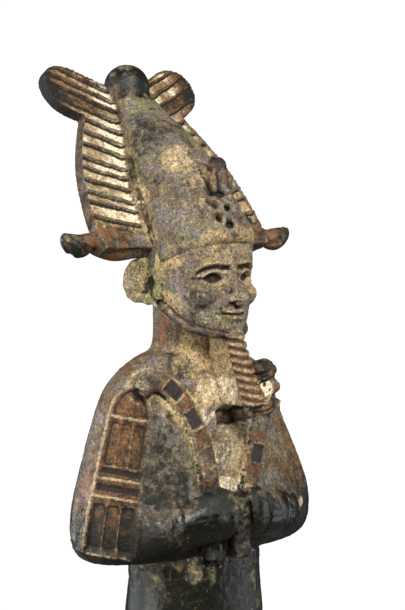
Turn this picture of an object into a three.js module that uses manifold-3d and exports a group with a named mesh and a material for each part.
// Osiris figure: a small bronze of a mummy-shaped standing god with a tall plumed crown, a false
// beard, a crook and a flail, cast in one piece with the low plinth under its feet.
// Millimetres, +Z up. The face looks along -Y and the figure's right arm is on the -X side.
// The origin is the centre of the plinth's flat underside.
import * as THREE from "three";
import { mergeVertices } from "three/addons/utils/BufferGeometryUtils.js";
import Module from "manifold-3d";

const wasm = await Module();
wasm.setup();

// Driving dimensions
const figureHeight = 222; // soles to the top of the crown
const plinthWidth = 38;
const plinthDepth = 46;
const plinthHeight = 8;
const plinthBevel = 1;
const featherThickness = 3.2;
const ribGrooveDepth = 0.9;
const armPanelDepth = 1.2;
const staffInlayDepth = 0.6;
const plumeLean = 33; // degrees that the plumes lean back

// The figure's forms are free carving. They are drawn as heights above the soles and distances
// from the upright axis, up to the knob on the crown, and grow with figureHeight.
const knobLevel = 216.7;
const knobRadius = 5.3;
const grow = figureHeight / (knobLevel + knobRadius);

const bronze = new THREE.MeshStandardMaterial({ color: 0x4f473b, roughness: 0.55, metalness: 0.6 });

// A closed geometry as a solid that can be joined and cut.
function solidOf(geometry) {
  const bare = geometry.index ? geometry.clone() : mergeVertices(geometry.clone());
  bare.deleteAttribute("normal");
  bare.deleteAttribute("uv");
  const merged = mergeVertices(bare, 1e-4);
  return new wasm.Manifold(
    new wasm.Mesh({
      numProp: 3,
      vertProperties: new Float32Array(merged.attributes.position.array),
      triVerts: new Uint32Array(merged.index.array),
    }),
  );
}

// Moves each point of a geometry by a function of its position.
function formed(geometry, move) {
  const position = geometry.attributes.position;
  const point = new THREE.Vector3();
  for (let i = 0; i < position.count; i += 1) {
    point.fromBufferAttribute(position, i);
    move(point);
    position.setXYZ(i, point.x, point.y, point.z);
  }
  return geometry;
}

// The same geometry on the other side of the middle plane, with its faces still outwards.
function otherSide(geometry) {
  const copy = geometry.clone();
  copy.scale(-1, 1, 1);
  if (copy.index) {
    const index = copy.index.array;
    for (let i = 0; i < index.length; i += 3) {
      [index[i], index[i + 1]] = [index[i + 1], index[i]];
    }
    return copy;
  }
  const position = copy.attributes.position;
  const first = new THREE.Vector3();
  const second = new THREE.Vector3();
  for (let i = 0; i < position.count; i += 3) {
    first.fromBufferAttribute(position, i);
    second.fromBufferAttribute(position, i + 1);
    position.setXYZ(i, second.x, second.y, second.z);
    position.setXYZ(i + 1, first.x, first.y, first.z);
  }
  return copy;
}

function bothSides(geometry) {
  return [geometry, otherSide(geometry)];
}

function joined(geometries) {
  return geometries.map(solidOf).reduce((whole, next) => whole.add(next));
}

// A value between the entries of an evenly spaced list
function between(values, place) {
  const i = Math.min(Math.floor(place), values.length - 2);
  return values[i] + (values[i + 1] - values[i]) * (place - i);
}

// A body lofted through level sections. A row holds the height, the half width, the front and
// back reach, where the section is widest, how far its level tips towards the front, and how
// square its outline is (2 is an ellipse).
function levelLoft(rows, sides) {
  const steps = rows.length - 1;
  return formed(new THREE.CylinderGeometry(1, 1, 1, sides, steps), (point) => {
    const row = rows[Math.round((point.y + 0.5) * steps)];
    const { z, half, front, back, wide, tip = 0, square = 2.2 } = row;
    const rim = Math.min(Math.hypot(point.x, point.z), 1);
    const angle = Math.atan2(-point.z, point.x);
    const power = 2 / square;
    const across = Math.sign(Math.cos(angle)) * Math.abs(Math.cos(angle)) ** power;
    const along = Math.sign(Math.sin(angle)) * Math.abs(Math.sin(angle)) ** power;
    const reach = along < 0 ? wide - front : back - wide;
    const y = wide + rim * along * reach;
    point.set(rim * across * half, y, z - tip * (y - wide));
  });
}

// A limb of round section along a smooth path. A stop holds a point of the path and the limb's
// radius there.
function limb(stops, sides) {
  const steps = stops.length - 1;
  const { normals, binormals } = pathThrough(stops).computeFrenetFrames(steps, false);
  return alongPath(stops, sides, (k) => ({ side: normals[k], out: binormals[k] }));
}

// A limb that is thinner along the direction that it faces
function band(stops, sides, flatness) {
  const path = pathThrough(stops);
  const steps = stops.length - 1;
  return alongPath(stops, sides, (k) => {
    const { side, out } = facingFrame(path.getTangent(k / steps));
    return { side, out: out.multiplyScalar(flatness) };
  });
}

function alongPath(stops, sides, frameAt) {
  const steps = stops.length - 1;
  const path = pathThrough(stops);
  return formed(new THREE.CylinderGeometry(1, 1, 1, sides, steps), (point) => {
    const k = Math.round((point.y + 0.5) * steps);
    const radius = stops[k][3] * Math.min(Math.hypot(point.x, point.z), 1);
    const angle = Math.atan2(-point.z, point.x);
    const { side, out } = frameAt(k);
    path.getPoint(k / steps, point);
    point.addScaledVector(side, Math.cos(angle) * radius);
    point.addScaledVector(out, Math.sin(angle) * radius);
  });
}

function pathThrough(stops) {
  const points = stops.map((stop) => new THREE.Vector3(stop[0], stop[1], stop[2]));
  return new THREE.CatmullRomCurve3(points, false, "centripetal");
}

const forward = new THREE.Vector3(0, -1, 0);
const upright = new THREE.Vector3(0, 0, 1);
const sideways = new THREE.Vector3(1, 0, 0);

// The two directions across a path: to its side, and out towards the figure's front
function facingFrame(along) {
  const side = new THREE.Vector3().crossVectors(forward, along).normalize();
  const out = new THREE.Vector3().crossVectors(along, side).normalize();
  return { side, out };
}

// An egg: a sphere stretched to its half sizes about its centre, then turned about the X axis.
function egg(centre, halves, sides = 14, rings = 9, turn = 0) {
  const geometry = new THREE.SphereGeometry(1, sides, rings);
  geometry.rotateX(Math.PI / 2);
  geometry.scale(halves[0], halves[1], halves[2]);
  geometry.rotateX(THREE.MathUtils.degToRad(turn));
  geometry.translate(centre[0], centre[1], centre[2]);
  return geometry;
}

// A flat outline pushed out into a slab, laid on a plane by its two directions.
function slab(outline, depth, origin, right, up, curveSegments = 4) {
  const geometry = new THREE.ExtrudeGeometry(outline, { depth, bevelEnabled: false, curveSegments });
  const out = new THREE.Vector3().crossVectors(right, up);
  const place = new THREE.Matrix4().makeBasis(right, up, out);
  place.setPosition(origin);
  geometry.applyMatrix4(place);
  return geometry;
}

function outlineOf(points) {
  return new THREE.Shape(points.map((point) => new THREE.Vector2(point[0], point[1])));
}

// A thin web in the middle plane, of an outline drawn from the front's reach and the height
function middleWeb(outline, half) {
  return slab(outline, 2 * half, new THREE.Vector3(half, 0, 0), forward, upright);
}

// The wrapped body, from the feet to the neck
function shroud() {
  const rows = [
    { z: -1, half: 11.6, front: -18, back: 7.6, wide: -4, square: 2.8 },
    { z: 4, half: 11.4, front: -17.8, back: 7.6, wide: -4, square: 2.8 },
    { z: 7.6, half: 11.2, front: -15.6, back: 7.6, wide: -3, square: 2.6 },
    { z: 12, half: 10.8, front: -11.4, back: 7.6, wide: -1.5 },
    { z: 20, half: 10.6, front: -9.2, back: 8, wide: -0.6 },
    { z: 38, half: 12.8, front: -9.6, back: 9.8, wide: -0.5 },
    { z: 56, half: 13.3, front: -10.6, back: 8.6, wide: -0.5 },
    { z: 70, half: 14.8, front: -11.4, back: 9, wide: -0.5 },
    { z: 84, half: 16.6, front: -12.2, back: 10.6, wide: -0.5 },
    { z: 97, half: 17.3, front: -12.6, back: 11.4, wide: -0.6 },
    { z: 108, half: 16.4, front: -12, back: 10.4, wide: -0.6 },
    { z: 118, half: 16.4, front: -11.6, back: 9.4, wide: -0.5 },
    { z: 128, half: 18.4, front: -11.8, back: 9.6, wide: 0 },
    { z: 138, half: 20.6, front: -12, back: 10, wide: 0 },
    { z: 146, half: 20, front: -10.8, back: 9.8, wide: 0 },
    { z: 151.6, half: 16.4, front: -9, back: 9.4, wide: 0 },
    { z: 155.6, half: 11.2, front: -7.4, back: 9, wide: 0 },
    { z: 160, half: 8.6, front: -6.8, back: 8.8, wide: 0.6 },
    { z: 167, half: 8.3, front: -7.2, back: 8.8, wide: 0.8 },
    { z: 176, half: 8.6, front: -7.2, back: 9, wide: 0.8 },
  ];
  return levelLoft(rows, 20);
}

// Both arms under the shroud, from the shoulders to the elbows, as one bell-shaped mass
function coveredArms(inset = 0) {
  const rows = [
    { z: 113.4, half: 25.5, front: -7.6, back: 5 },
    { z: 114.2, half: 29.6, front: -10, back: 7.2 },
    { z: 116.6, half: 32.4, front: -11.8, back: 8.6 },
    { z: 121, half: 33.5, front: -12.6, back: 9 },
    { z: 127, half: 32.8, front: -12.2, back: 9.3 },
    { z: 134, half: 30.4, front: -10.6, back: 9.8 },
    { z: 141, half: 27.8, front: -9, back: 9.9 },
    { z: 147, half: 25.4, front: -7.4, back: 9.8 },
    { z: 151.4, half: 22.9, front: -6.8, back: 9.2 },
    { z: 155, half: 18.4, front: -5.6, back: 8.8 },
    { z: 158, half: 12, front: -4.6, back: 8.2 },
  ].map((row) => ({
    z: row.z,
    half: row.half - inset,
    front: row.front + inset,
    back: row.back - inset,
    wide: 0.5,
    square: 2.5,
  }));
  return levelLoft(rows, 22);
}

function forearm() {
  const stops = [
    [26, -2, 120, 2.6],
    [20, -6.8, 120.6, 5.4],
    [16, -8.8, 121, 5.9],
    [12, -10.4, 121.8, 5.6],
    [9, -11, 122.2, 4.6],
  ];
  return limb(stops, 9);
}

// A fist comes out of the shroud at a cuff and opens towards the middle, where it ends flat
const fistFlatness = 0.8;
function fist() {
  return band(
    [
      [16, -11.4, 121.6, 5],
      [11.6, -12.4, 122, 5.2],
      [7.4, -13, 122.6, 5.7],
      [4, -13.4, 123, 5.9],
      [3.2, -13.4, 123, 5],
    ],
    10,
    fistFlatness,
  );
}

// Each staff ends in a short butt below the fists, the flail's between the two. Above them the
// shafts lie on the chest and end in the crook on the right and in the flail's knobs on the left
function staffButts() {
  const butt = (across, out, radius) =>
    limb(
      [
        [across, out, 127, radius],
        [across, out, 118, radius],
        [across, out, 113.6, radius + 0.3],
      ],
      8,
    );
  return [butt(-5.4, -12.8, 1.9), butt(1.4, -13.8, 2.3)];
}

const crookStops = [
  [-5.3, -12.6, 125, 2.2],
  [-6.4, -12.2, 134, 2.2],
  [-8.4, -11, 142, 2.2],
  [-11.4, -8.8, 148.6, 2.2],
  [-14.4, -7, 152, 2.2],
  [-17.4, -5.2, 153, 2.4],
  [-19.2, -5, 150.6, 1.8],
];
const flailStops = [
  [5, -12.8, 125, 2.1],
  [6.8, -12.6, 132, 2.1],
  [8.6, -12.2, 138, 2.1],
  [10.8, -11.6, 146, 2.2],
];
const bandFlatness = 0.6;

function flailKnobs() {
  return [
    egg([10.4, -12.2, 146.4], [2.6, 2.8, 2.6], 8, 5),
    egg([11.2, -13.2, 150], [2.7, 2.9, 2.7], 8, 5),
    egg([9.8, -13, 154.4], [3, 3.1, 2.9], 8, 5),
    egg([8.2, -10.2, 150.6], [2.4, 3.6, 3], 6, 5),
  ];
}

// Square beds for the lost inlays, sunk along a shaft at even steps
const bedLength = 3.6;
const bedWidth = 3;
function staffInlays(stops, count, from, to) {
  const path = pathThrough(stops);
  const beds = [];
  for (let i = 0; i < count; i += 1) {
    const t = from + ((to - from) * i) / (count - 1);
    const along = path.getTangent(t);
    const { side, out } = facingFrame(along);
    const above = 2;
    const bed = new THREE.BoxGeometry(bedWidth, 2 * above, bedLength);
    bed.applyMatrix4(new THREE.Matrix4().makeBasis(side, out, along));
    const floor = stops[0][3] * bandFlatness - staffInlayDepth / grow;
    const centre = path.getPoint(t).addScaledVector(out, floor + above);
    bed.translate(centre.x, centre.y, centre.z);
    beds.push(bed);
  }
  return beds;
}

// The head is a plain calm one on the common rule of thirds: the brows a third of the face below
// the hairline, the nose another third, and each eye a fifth of the face's width
const chinLevel = 162.6;
const hairline = 183;
const faceHeight = hairline - chinLevel;
const browLevel = hairline - faceHeight / 3;
const noseBase = chinLevel + faceHeight / 3;
const mouthLevel = noseBase - faceHeight / 8;
const faceWidth = 22;
const eyeWidth = faceWidth / 5;
const eyeLevel = browLevel - faceHeight / 12;
const faceFront = -14;

function head() {
  const rows = [
    { z: chinLevel - 0.7, half: 3.6, front: -12, back: -2, wide: -7 },
    { z: chinLevel + 0.2, half: 5.6, front: -13.6, back: 2, wide: -6 },
    { z: chinLevel + 2.4, half: 7.9, front: faceFront, back: 6, wide: -4.4 },
    { z: chinLevel + 5.2, half: 9.5, front: faceFront + 0.1, back: 7.6, wide: -3.4 },
    { z: chinLevel + 8.4, half: 10.7, front: faceFront + 0.2, back: 8.4, wide: -2.8 },
    { z: chinLevel + 12, half: 11.2, front: faceFront + 0.5, back: 8.6, wide: -2.4 },
    { z: chinLevel + 16, half: 11.3, front: faceFront + 0.2, back: 8.8, wide: -2.4 },
    { z: chinLevel + 20, half: 11, front: faceFront + 0.8, back: 9, wide: -2.2 },
    { z: chinLevel + 25, half: 9, front: -9.6, back: 9, wide: -1 },
  ];
  return levelLoft(rows, 20);
}

function noseAndLips() {
  const bridge = limb(
    [
      [0, faceFront + 0.8, browLevel - 0.2, 0.9],
      [0, faceFront - 0.2, browLevel - 2.8, 1],
      [0, faceFront - 1.2, noseBase + 2, 1.4],
      [0, faceFront - 1.7, noseBase + 1, 1.6],
      [0, faceFront - 0.4, noseBase + 0.2, 1],
    ],
    8,
  );
  const wing = egg([1.4, faceFront - 0.4, noseBase + 1], [1.1, 1.4, 1], 6, 4);
  const upperLip = egg([0, faceFront + 0.3, mouthLevel + 0.5], [3, 1.3, 0.66], 8, 4);
  const lowerLip = egg([0, faceFront + 0.3, mouthLevel - 0.65], [2.6, 1.3, 0.74], 8, 4);
  const chin = egg([0, faceFront + 0.6, chinLevel + 1.8], [3, 1.5, 1.7], 8, 5);
  return [bridge, ...bothSides(wing), upperLip, lowerLip, chin];
}

// An almond eye and a bowed brow are empty inlay beds
function eyeBed() {
  const half = eyeWidth / 2 + 0.3;
  const almond = new THREE.Shape();
  almond.moveTo(-half, -0.1);
  almond.quadraticCurveTo(0, 2.1, half + 0.5, 0.1);
  almond.quadraticCurveTo(0.2, -1.6, -half, -0.1);
  const origin = new THREE.Vector3(eyeWidth, faceFront + 2, eyeLevel);
  return slab(almond, 6, origin, sideways.clone().applyAxisAngle(upright, 0.42), upright, 3);
}

function browBed() {
  const brow = new THREE.Shape();
  brow.moveTo(-2.9, 0.1);
  brow.quadraticCurveTo(0.4, 1.5, 3.8, -0.5);
  brow.lineTo(3.9, -1);
  brow.quadraticCurveTo(0.4, 0.8, -2.9, -0.6);
  const origin = new THREE.Vector3(eyeWidth + 0.2, faceFront + 1.7, browLevel + 0.1);
  return slab(brow, 6, origin, sideways.clone().applyAxisAngle(upright, 0.4), upright, 3);
}

const earTurn = -0.72;
function ear() {
  const shell = egg([0, 0, 0], [1.5, 4.4, 5], 9, 6, 10);
  shell.rotateZ(earTurn);
  shell.translate(11.4, 4, eyeLevel - 0.4);
  return shell;
}

function earHollow() {
  const hollow = egg([0, 0, 0], [1.1, 2.8, 3.4], 7, 5, 10);
  hollow.rotateZ(earTurn);
  hollow.translate(12.2, 2.8, eyeLevel);
  return hollow;
}

// The beard's strap under the jaw, from ear to chin
function chinStrap() {
  return limb(
    [
      [11.2, 1.4, eyeLevel - 5.4, 0.6],
      [10.4, -2.2, chinLevel + 6.2, 0.7],
      [8.5, -6.8, chinLevel + 2.6, 0.7],
      [5.6, -10.6, chinLevel + 0.6, 0.7],
      [1.4, -12.8, chinLevel - 0.4, 0.7],
    ],
    5,
  );
}

// The plaited beard hangs forward from the chin, with even cross ribs, and a web behind it
// runs back to the neck and chest
const beardRibs = 9;
function beard() {
  const stopsPerRib = 2;
  const count = beardRibs * stopsPerRib;
  const stops = [];
  for (let i = 0; i <= count; i += 1) {
    const t = i / count;
    const swell = i % stopsPerRib === 0 ? 0.86 : 1.08;
    const y = faceFront + 0.6 - 4.6 * t - 3 * t * t;
    const z = chinLevel + 0.4 - 16 * t;
    stops.push([0, y, z, (2.1 + 0.5 * t) * swell]);
  }
  return limb(stops, 7);
}

function beardWeb() {
  const side = outlineOf([
    [5, chinLevel + 3],
    [13.4, chinLevel + 0.4],
    [20, chinLevel - 13.6],
    [14, chinLevel - 16.6],
    [8, chinLevel - 17],
  ]);
  return middleWeb(side, 1.1);
}

// The plumes stand in one leaning plane behind the crown's middle. Their outlines and ribs are
// drawn in that plane: across from the middle plane, and up the slope from the horns.
const lean = THREE.MathUtils.degToRad(plumeLean);
const plumeUp = new THREE.Vector3(0, Math.sin(lean), Math.cos(lean));
const plumeFront = new THREE.Vector3().crossVectors(sideways, plumeUp);
const plumeFoot = new THREE.Vector3(0, 3.4, 183);
const drawnThickness = featherThickness / grow;
const drawnGroove = ribGrooveDepth / grow;

// How far back the plumes are at a height
function plumesAt(z) {
  return plumeFoot.y + (z - plumeFoot.z) * Math.tan(lean);
}

// The tall crown leans back with the plumes, from the brow to the knob on its top. A level of its
// leaning part holds its share of the height from the brim to the knob, the half width, and how
// far its middle is ahead of the plumes.
const brimTop = 184;
function tallCrown() {
  const brim = [
    { z: 177.8, half: 11.4, front: -13.8, back: 8.6, wide: -2.8, tip: 0.42 },
    { z: 179, half: 12.2, front: -14.7, back: 9, wide: -2.8, tip: 0.42 },
    { z: brimTop, half: 11.8, front: -14.4, back: 9.4, wide: -2.6, tip: 0.12 },
  ];
  const levels = [
    [0.12, 11.2, 7.2],
    [0.245, 10.5, 7.4],
    [0.4, 9.7, 7.7],
    [0.55, 8.6, 7.5],
    [0.685, 7.2, 6.6],
    [0.807, 5.7, 5],
    [0.95, 4.4, 3.3],
  ];
  const leaning = levels.map(([share, half, ahead]) => {
    const z = brimTop + (knobLevel - brimTop) * share;
    const wide = plumesAt(z) - ahead;
    return { z, half, front: wide - half, back: wide + half, wide };
  });
  const rows = [...brim, ...leaning].map((row) => ({ ...row, square: 2 }));
  return levelLoft(rows, 22);
}

const knobAhead = 3.1;
function crownKnob() {
  const centre = [0, plumesAt(knobLevel) - knobAhead, knobLevel];
  return egg(centre, [knobRadius, knobRadius, knobRadius], 12, 8);
}

const curlFoot = 32;
const plumeEdge = [
  [24.4, -3],
  [24.6, 3],
  [23.6, 10],
  [21.6, 18],
  [18.2, 25.4],
  [14.4, curlFoot],
];

function plume() {
  const outline = new THREE.Shape();
  outline.moveTo(5, -3);
  outline.lineTo(plumeEdge[0][0], plumeEdge[0][1]);
  outline.splineThru(plumeEdge.slice(1).map((point) => new THREE.Vector2(point[0], point[1])));
  outline.bezierCurveTo(18.2, 30.4, 22.6, 34.8, 21.8, 39.8);
  outline.bezierCurveTo(21, 45.2, 15.6, 46.8, 10.4, 43.4);
  outline.lineTo(2.4, 38.6);
  outline.lineTo(2, 30);
  outline.lineTo(4, 18);
  const foot = plumeFoot.clone().addScaledVector(plumeFront, -drawnThickness / 2);
  return slab(outline, drawnThickness, foot, sideways, plumeUp, 3);
}

// One sunk groove between two ribs, on the front of a plume
function ribGroove(across, up, length, width, slope) {
  const groove = new THREE.BoxGeometry(length, width, 2 * drawnGroove);
  groove.rotateZ(slope);
  groove.translate(across, up, drawnThickness / 2);
  const place = new THREE.Matrix4().makeBasis(sideways, plumeUp, plumeFront);
  place.setPosition(plumeFoot);
  groove.applyMatrix4(place);
  return groove;
}

// The grooves rise outwards and stop just short of the plume's edge
const ribCount = 12;
const ribRim = 1;
function plumeGrooves() {
  const grooves = [];
  const slope = 0.2;
  const first = 1.6;
  const pitch = (curlFoot - first) / ribCount;
  const edge = plumeEdge.map((point) => point[0]);
  const foot = plumeEdge[0][1];
  const crownSide = 3;
  const halfRun = 9; // about half of a groove's length
  const outerRise = slope * halfRun;
  for (let i = 0; i < ribCount; i += 1) {
    const up = first + pitch * (i + 0.3);
    const place = Math.min((up + outerRise - foot) / (curlFoot - foot), 1);
    const length = between(edge, place * (edge.length - 1)) - ribRim - crownSide;
    grooves.push(ribGroove(crownSide + length / 2, up, length, pitch * 0.55, slope));
  }
  const curlGrooves = 4;
  const curlCentre = [14.2, 38.4];
  const curlHalf = [5.6, 5.2];
  for (let i = 0; i < curlGrooves; i += 1) {
    const place = (i + 0.5) / curlGrooves - 0.5;
    const length = 2 * curlHalf[0] * Math.sqrt(1 - (1.4 * place) ** 2) + 2;
    const up = curlCentre[1] + 2 * curlHalf[1] * place;
    grooves.push(ribGroove(curlCentre[0] - 1, up, length, 1.3, 0.42));
  }
  return grooves;
}

// A ram's horn, laid out level from the crown's side with a slow twist
function horn() {
  const stops = [
    [7, 3.8, 181.4, 2.4],
    [13, 4.4, 181.4, 2.7],
    [18.5, 4.6, 181, 2.8],
    [22.6, 4.6, 181.4, 2.3],
    [25.8, 4.4, 182.5, 2.1],
    [29.2, 4.2, 181.8, 2.6],
    [32, 4, 183, 1.9],
    [33.6, 4, 184.6, 0.6],
  ];
  return limb(stops, 7);
}

// The cobra rears on the brow in front of the leaning crown, joined to it by a web. Its body
// lies in two loops on each side below the hood.
const loopThickness = 0.85;
const loopTurn = 0.34;
const loopTip = Math.PI / 2 - 0.5;
function cobra() {
  const hood = egg([0, -9.4, 195], [3, 1.5, 3.4], 10, 6, -8);
  const throat = egg([0, -10.6, 194.6], [0.9, 0.9, 3.6], 6, 4, -6);
  const brow = egg([0, -9.6, 198.6], [1.5, 2.2, 1.5], 8, 5, 14);
  const loop = (across, out, level, radius) => {
    const ring = new THREE.TorusGeometry(radius, loopThickness, 4, 9);
    ring.rotateX(loopTip);
    ring.rotateZ(loopTurn);
    ring.translate(across, out, level);
    return ring;
  };
  const web = outlineOf([
    [14.4, 183],
    [11.8, 187.6],
    [9.8, 192],
    [8.6, 198],
    [-2, 201],
    [-2, 186],
  ]);
  const half = 1.2;
  return [
    hood,
    throat,
    brow,
    ...bothSides(loop(2.7, -10.4, 190, 1.8)),
    ...bothSides(loop(2.5, -12.8, 186, 1.7)),
    middleWeb(web, half),
  ];
}

// The sunk panel on an upper arm: a tall field, two narrow rows between cross bars, a second
// field and an arched top. Its cells are drawn on a plane that faces outwards and forwards, and
// their floors follow the arm's skin. The panel on the left arm sits further round to the side.
const panelFoot = 115.6;
const panelTop = 150.4;
const panelFootHalf = 5.4;
const panelTopHalf = 3.2;
const panelTip = THREE.MathUtils.degToRad(15);
const panelSlant = THREE.MathUtils.degToRad(8);
const rightPanel = { facing: THREE.MathUtils.degToRad(44), centre: [26.8, -3.2] };
const leftPanel = { facing: THREE.MathUtils.degToRad(20), centre: [28.4, 0.6] };
function armPanel({ facing, centre }) {
  const outward = new THREE.Vector3(Math.cos(facing), -Math.sin(facing), 0);
  const up = new THREE.Vector3(0, 0, Math.cos(panelTip)).addScaledVector(outward, -Math.sin(panelTip));
  const right = new THREE.Vector3().crossVectors(up, outward).normalize();
  const out = new THREE.Vector3().crossVectors(right, up);
  right.applyAxisAngle(out, panelSlant);
  up.applyAxisAngle(out, panelSlant);
  const origin = new THREE.Vector3(centre[0], centre[1], panelFoot);
  const length = (panelTop - panelFoot) / Math.cos(panelTip);
  const depth = 10;
  const shapes = [];
  // A cell across the panel, between two shares of its length
  const cell = (bottom, top) => {
    const halfAt = (share) => panelFootHalf + (panelTopHalf - panelFootHalf) * share;
    shapes.push(
      outlineOf([
        [-halfAt(bottom), bottom * length],
        [halfAt(bottom), bottom * length],
        [halfAt(top), top * length],
        [-halfAt(top), top * length],
      ]),
    );
  };
  cell(0, 0.34);
  cell(0.37, 0.43);
  cell(0.46, 0.52);
  cell(0.55, 0.79);
  const archFoot = 0.82 * length;
  const arch = new THREE.Shape();
  arch.moveTo(-panelTopHalf, archFoot);
  arch.lineTo(panelTopHalf, archFoot);
  arch.quadraticCurveTo(panelTopHalf, length, 0, length);
  arch.quadraticCurveTo(-panelTopHalf, length, -panelTopHalf, archFoot);
  shapes.push(arch);
  return shapes.map((shape) => slab(shape, depth, origin, right, up, 3));
}

// Each carved form is cut before it is joined to the rest, so that no cut runs on inside
function figure() {
  const carvedArms = joined([coveredArms()]).subtract(
    joined([...armPanel(rightPanel).map(otherSide), ...armPanel(leftPanel)]).subtract(
      joined([coveredArms(armPanelDepth / grow)]),
    ),
  );
  const faceAndEars = joined([head(), ...noseAndLips(), ...bothSides(ear()), ...bothSides(chinStrap())]);
  const faceCuts = joined([eyeBed(), browBed(), earHollow()].flatMap(bothSides));
  const plumes = joined(bothSides(plume())).subtract(joined(plumeGrooves().flatMap(bothSides)));
  const bands = joined([band(crookStops, 8, bandFlatness), band(flailStops, 8, bandFlatness)]);
  const beds = joined([...staffInlays(crookStops, 3, 0.16, 0.52), ...staffInlays(flailStops, 3, 0.3, 0.75)]);
  const plain = joined([
    shroud(),
    ...bothSides(forearm()),
    ...bothSides(fist()),
    ...staffButts(),
    ...flailKnobs(),
    beard(),
    beardWeb(),
    tallCrown(),
    crownKnob(),
    ...bothSides(horn()),
    ...cobra(),
  ]);
  return [carvedArms, faceAndEars.subtract(faceCuts), plumes, bands.subtract(beds)]
    .reduce((whole, next) => whole.add(next), plain)
    .scale(grow)
    .translate(0, 0, plinthHeight);
}

function plinth() {
  const bevelled = {
    depth: plinthHeight - plinthBevel,
    bevelEnabled: true,
    bevelThickness: plinthBevel,
    bevelSize: plinthBevel,
    bevelOffset: -plinthBevel,
    bevelSegments: 2,
  };
  const half = plinthWidth / 2;
  const reach = plinthDepth / 2;
  const top = outlineOf([
    [-half, -reach],
    [half, -reach],
    [half, reach],
    [-half, reach],
  ]);
  const block = new THREE.ExtrudeGeometry(top, bevelled);
  const solid = solidOf(block);
  const below = new THREE.BoxGeometry(2 * plinthWidth, 2 * plinthDepth, 2 * plinthBevel);
  below.translate(0, 0, -plinthBevel);
  return solid.subtract(solidOf(below));
}

function meshOf(name, solid) {
  const { vertProperties, triVerts } = solid.getMesh();
  const geometry = new THREE.BufferGeometry();
  geometry.setAttribute("position", new THREE.BufferAttribute(vertProperties, 3));
  geometry.setIndex(new THREE.BufferAttribute(triVerts, 1));
  geometry.computeVertexNormals();
  const mesh = new THREE.Mesh(geometry, bronze);
  mesh.name = name;
  return mesh;
}

const part = new THREE.Group();
part.add(meshOf("osiris_figure", plinth().add(figure())));

export default part;
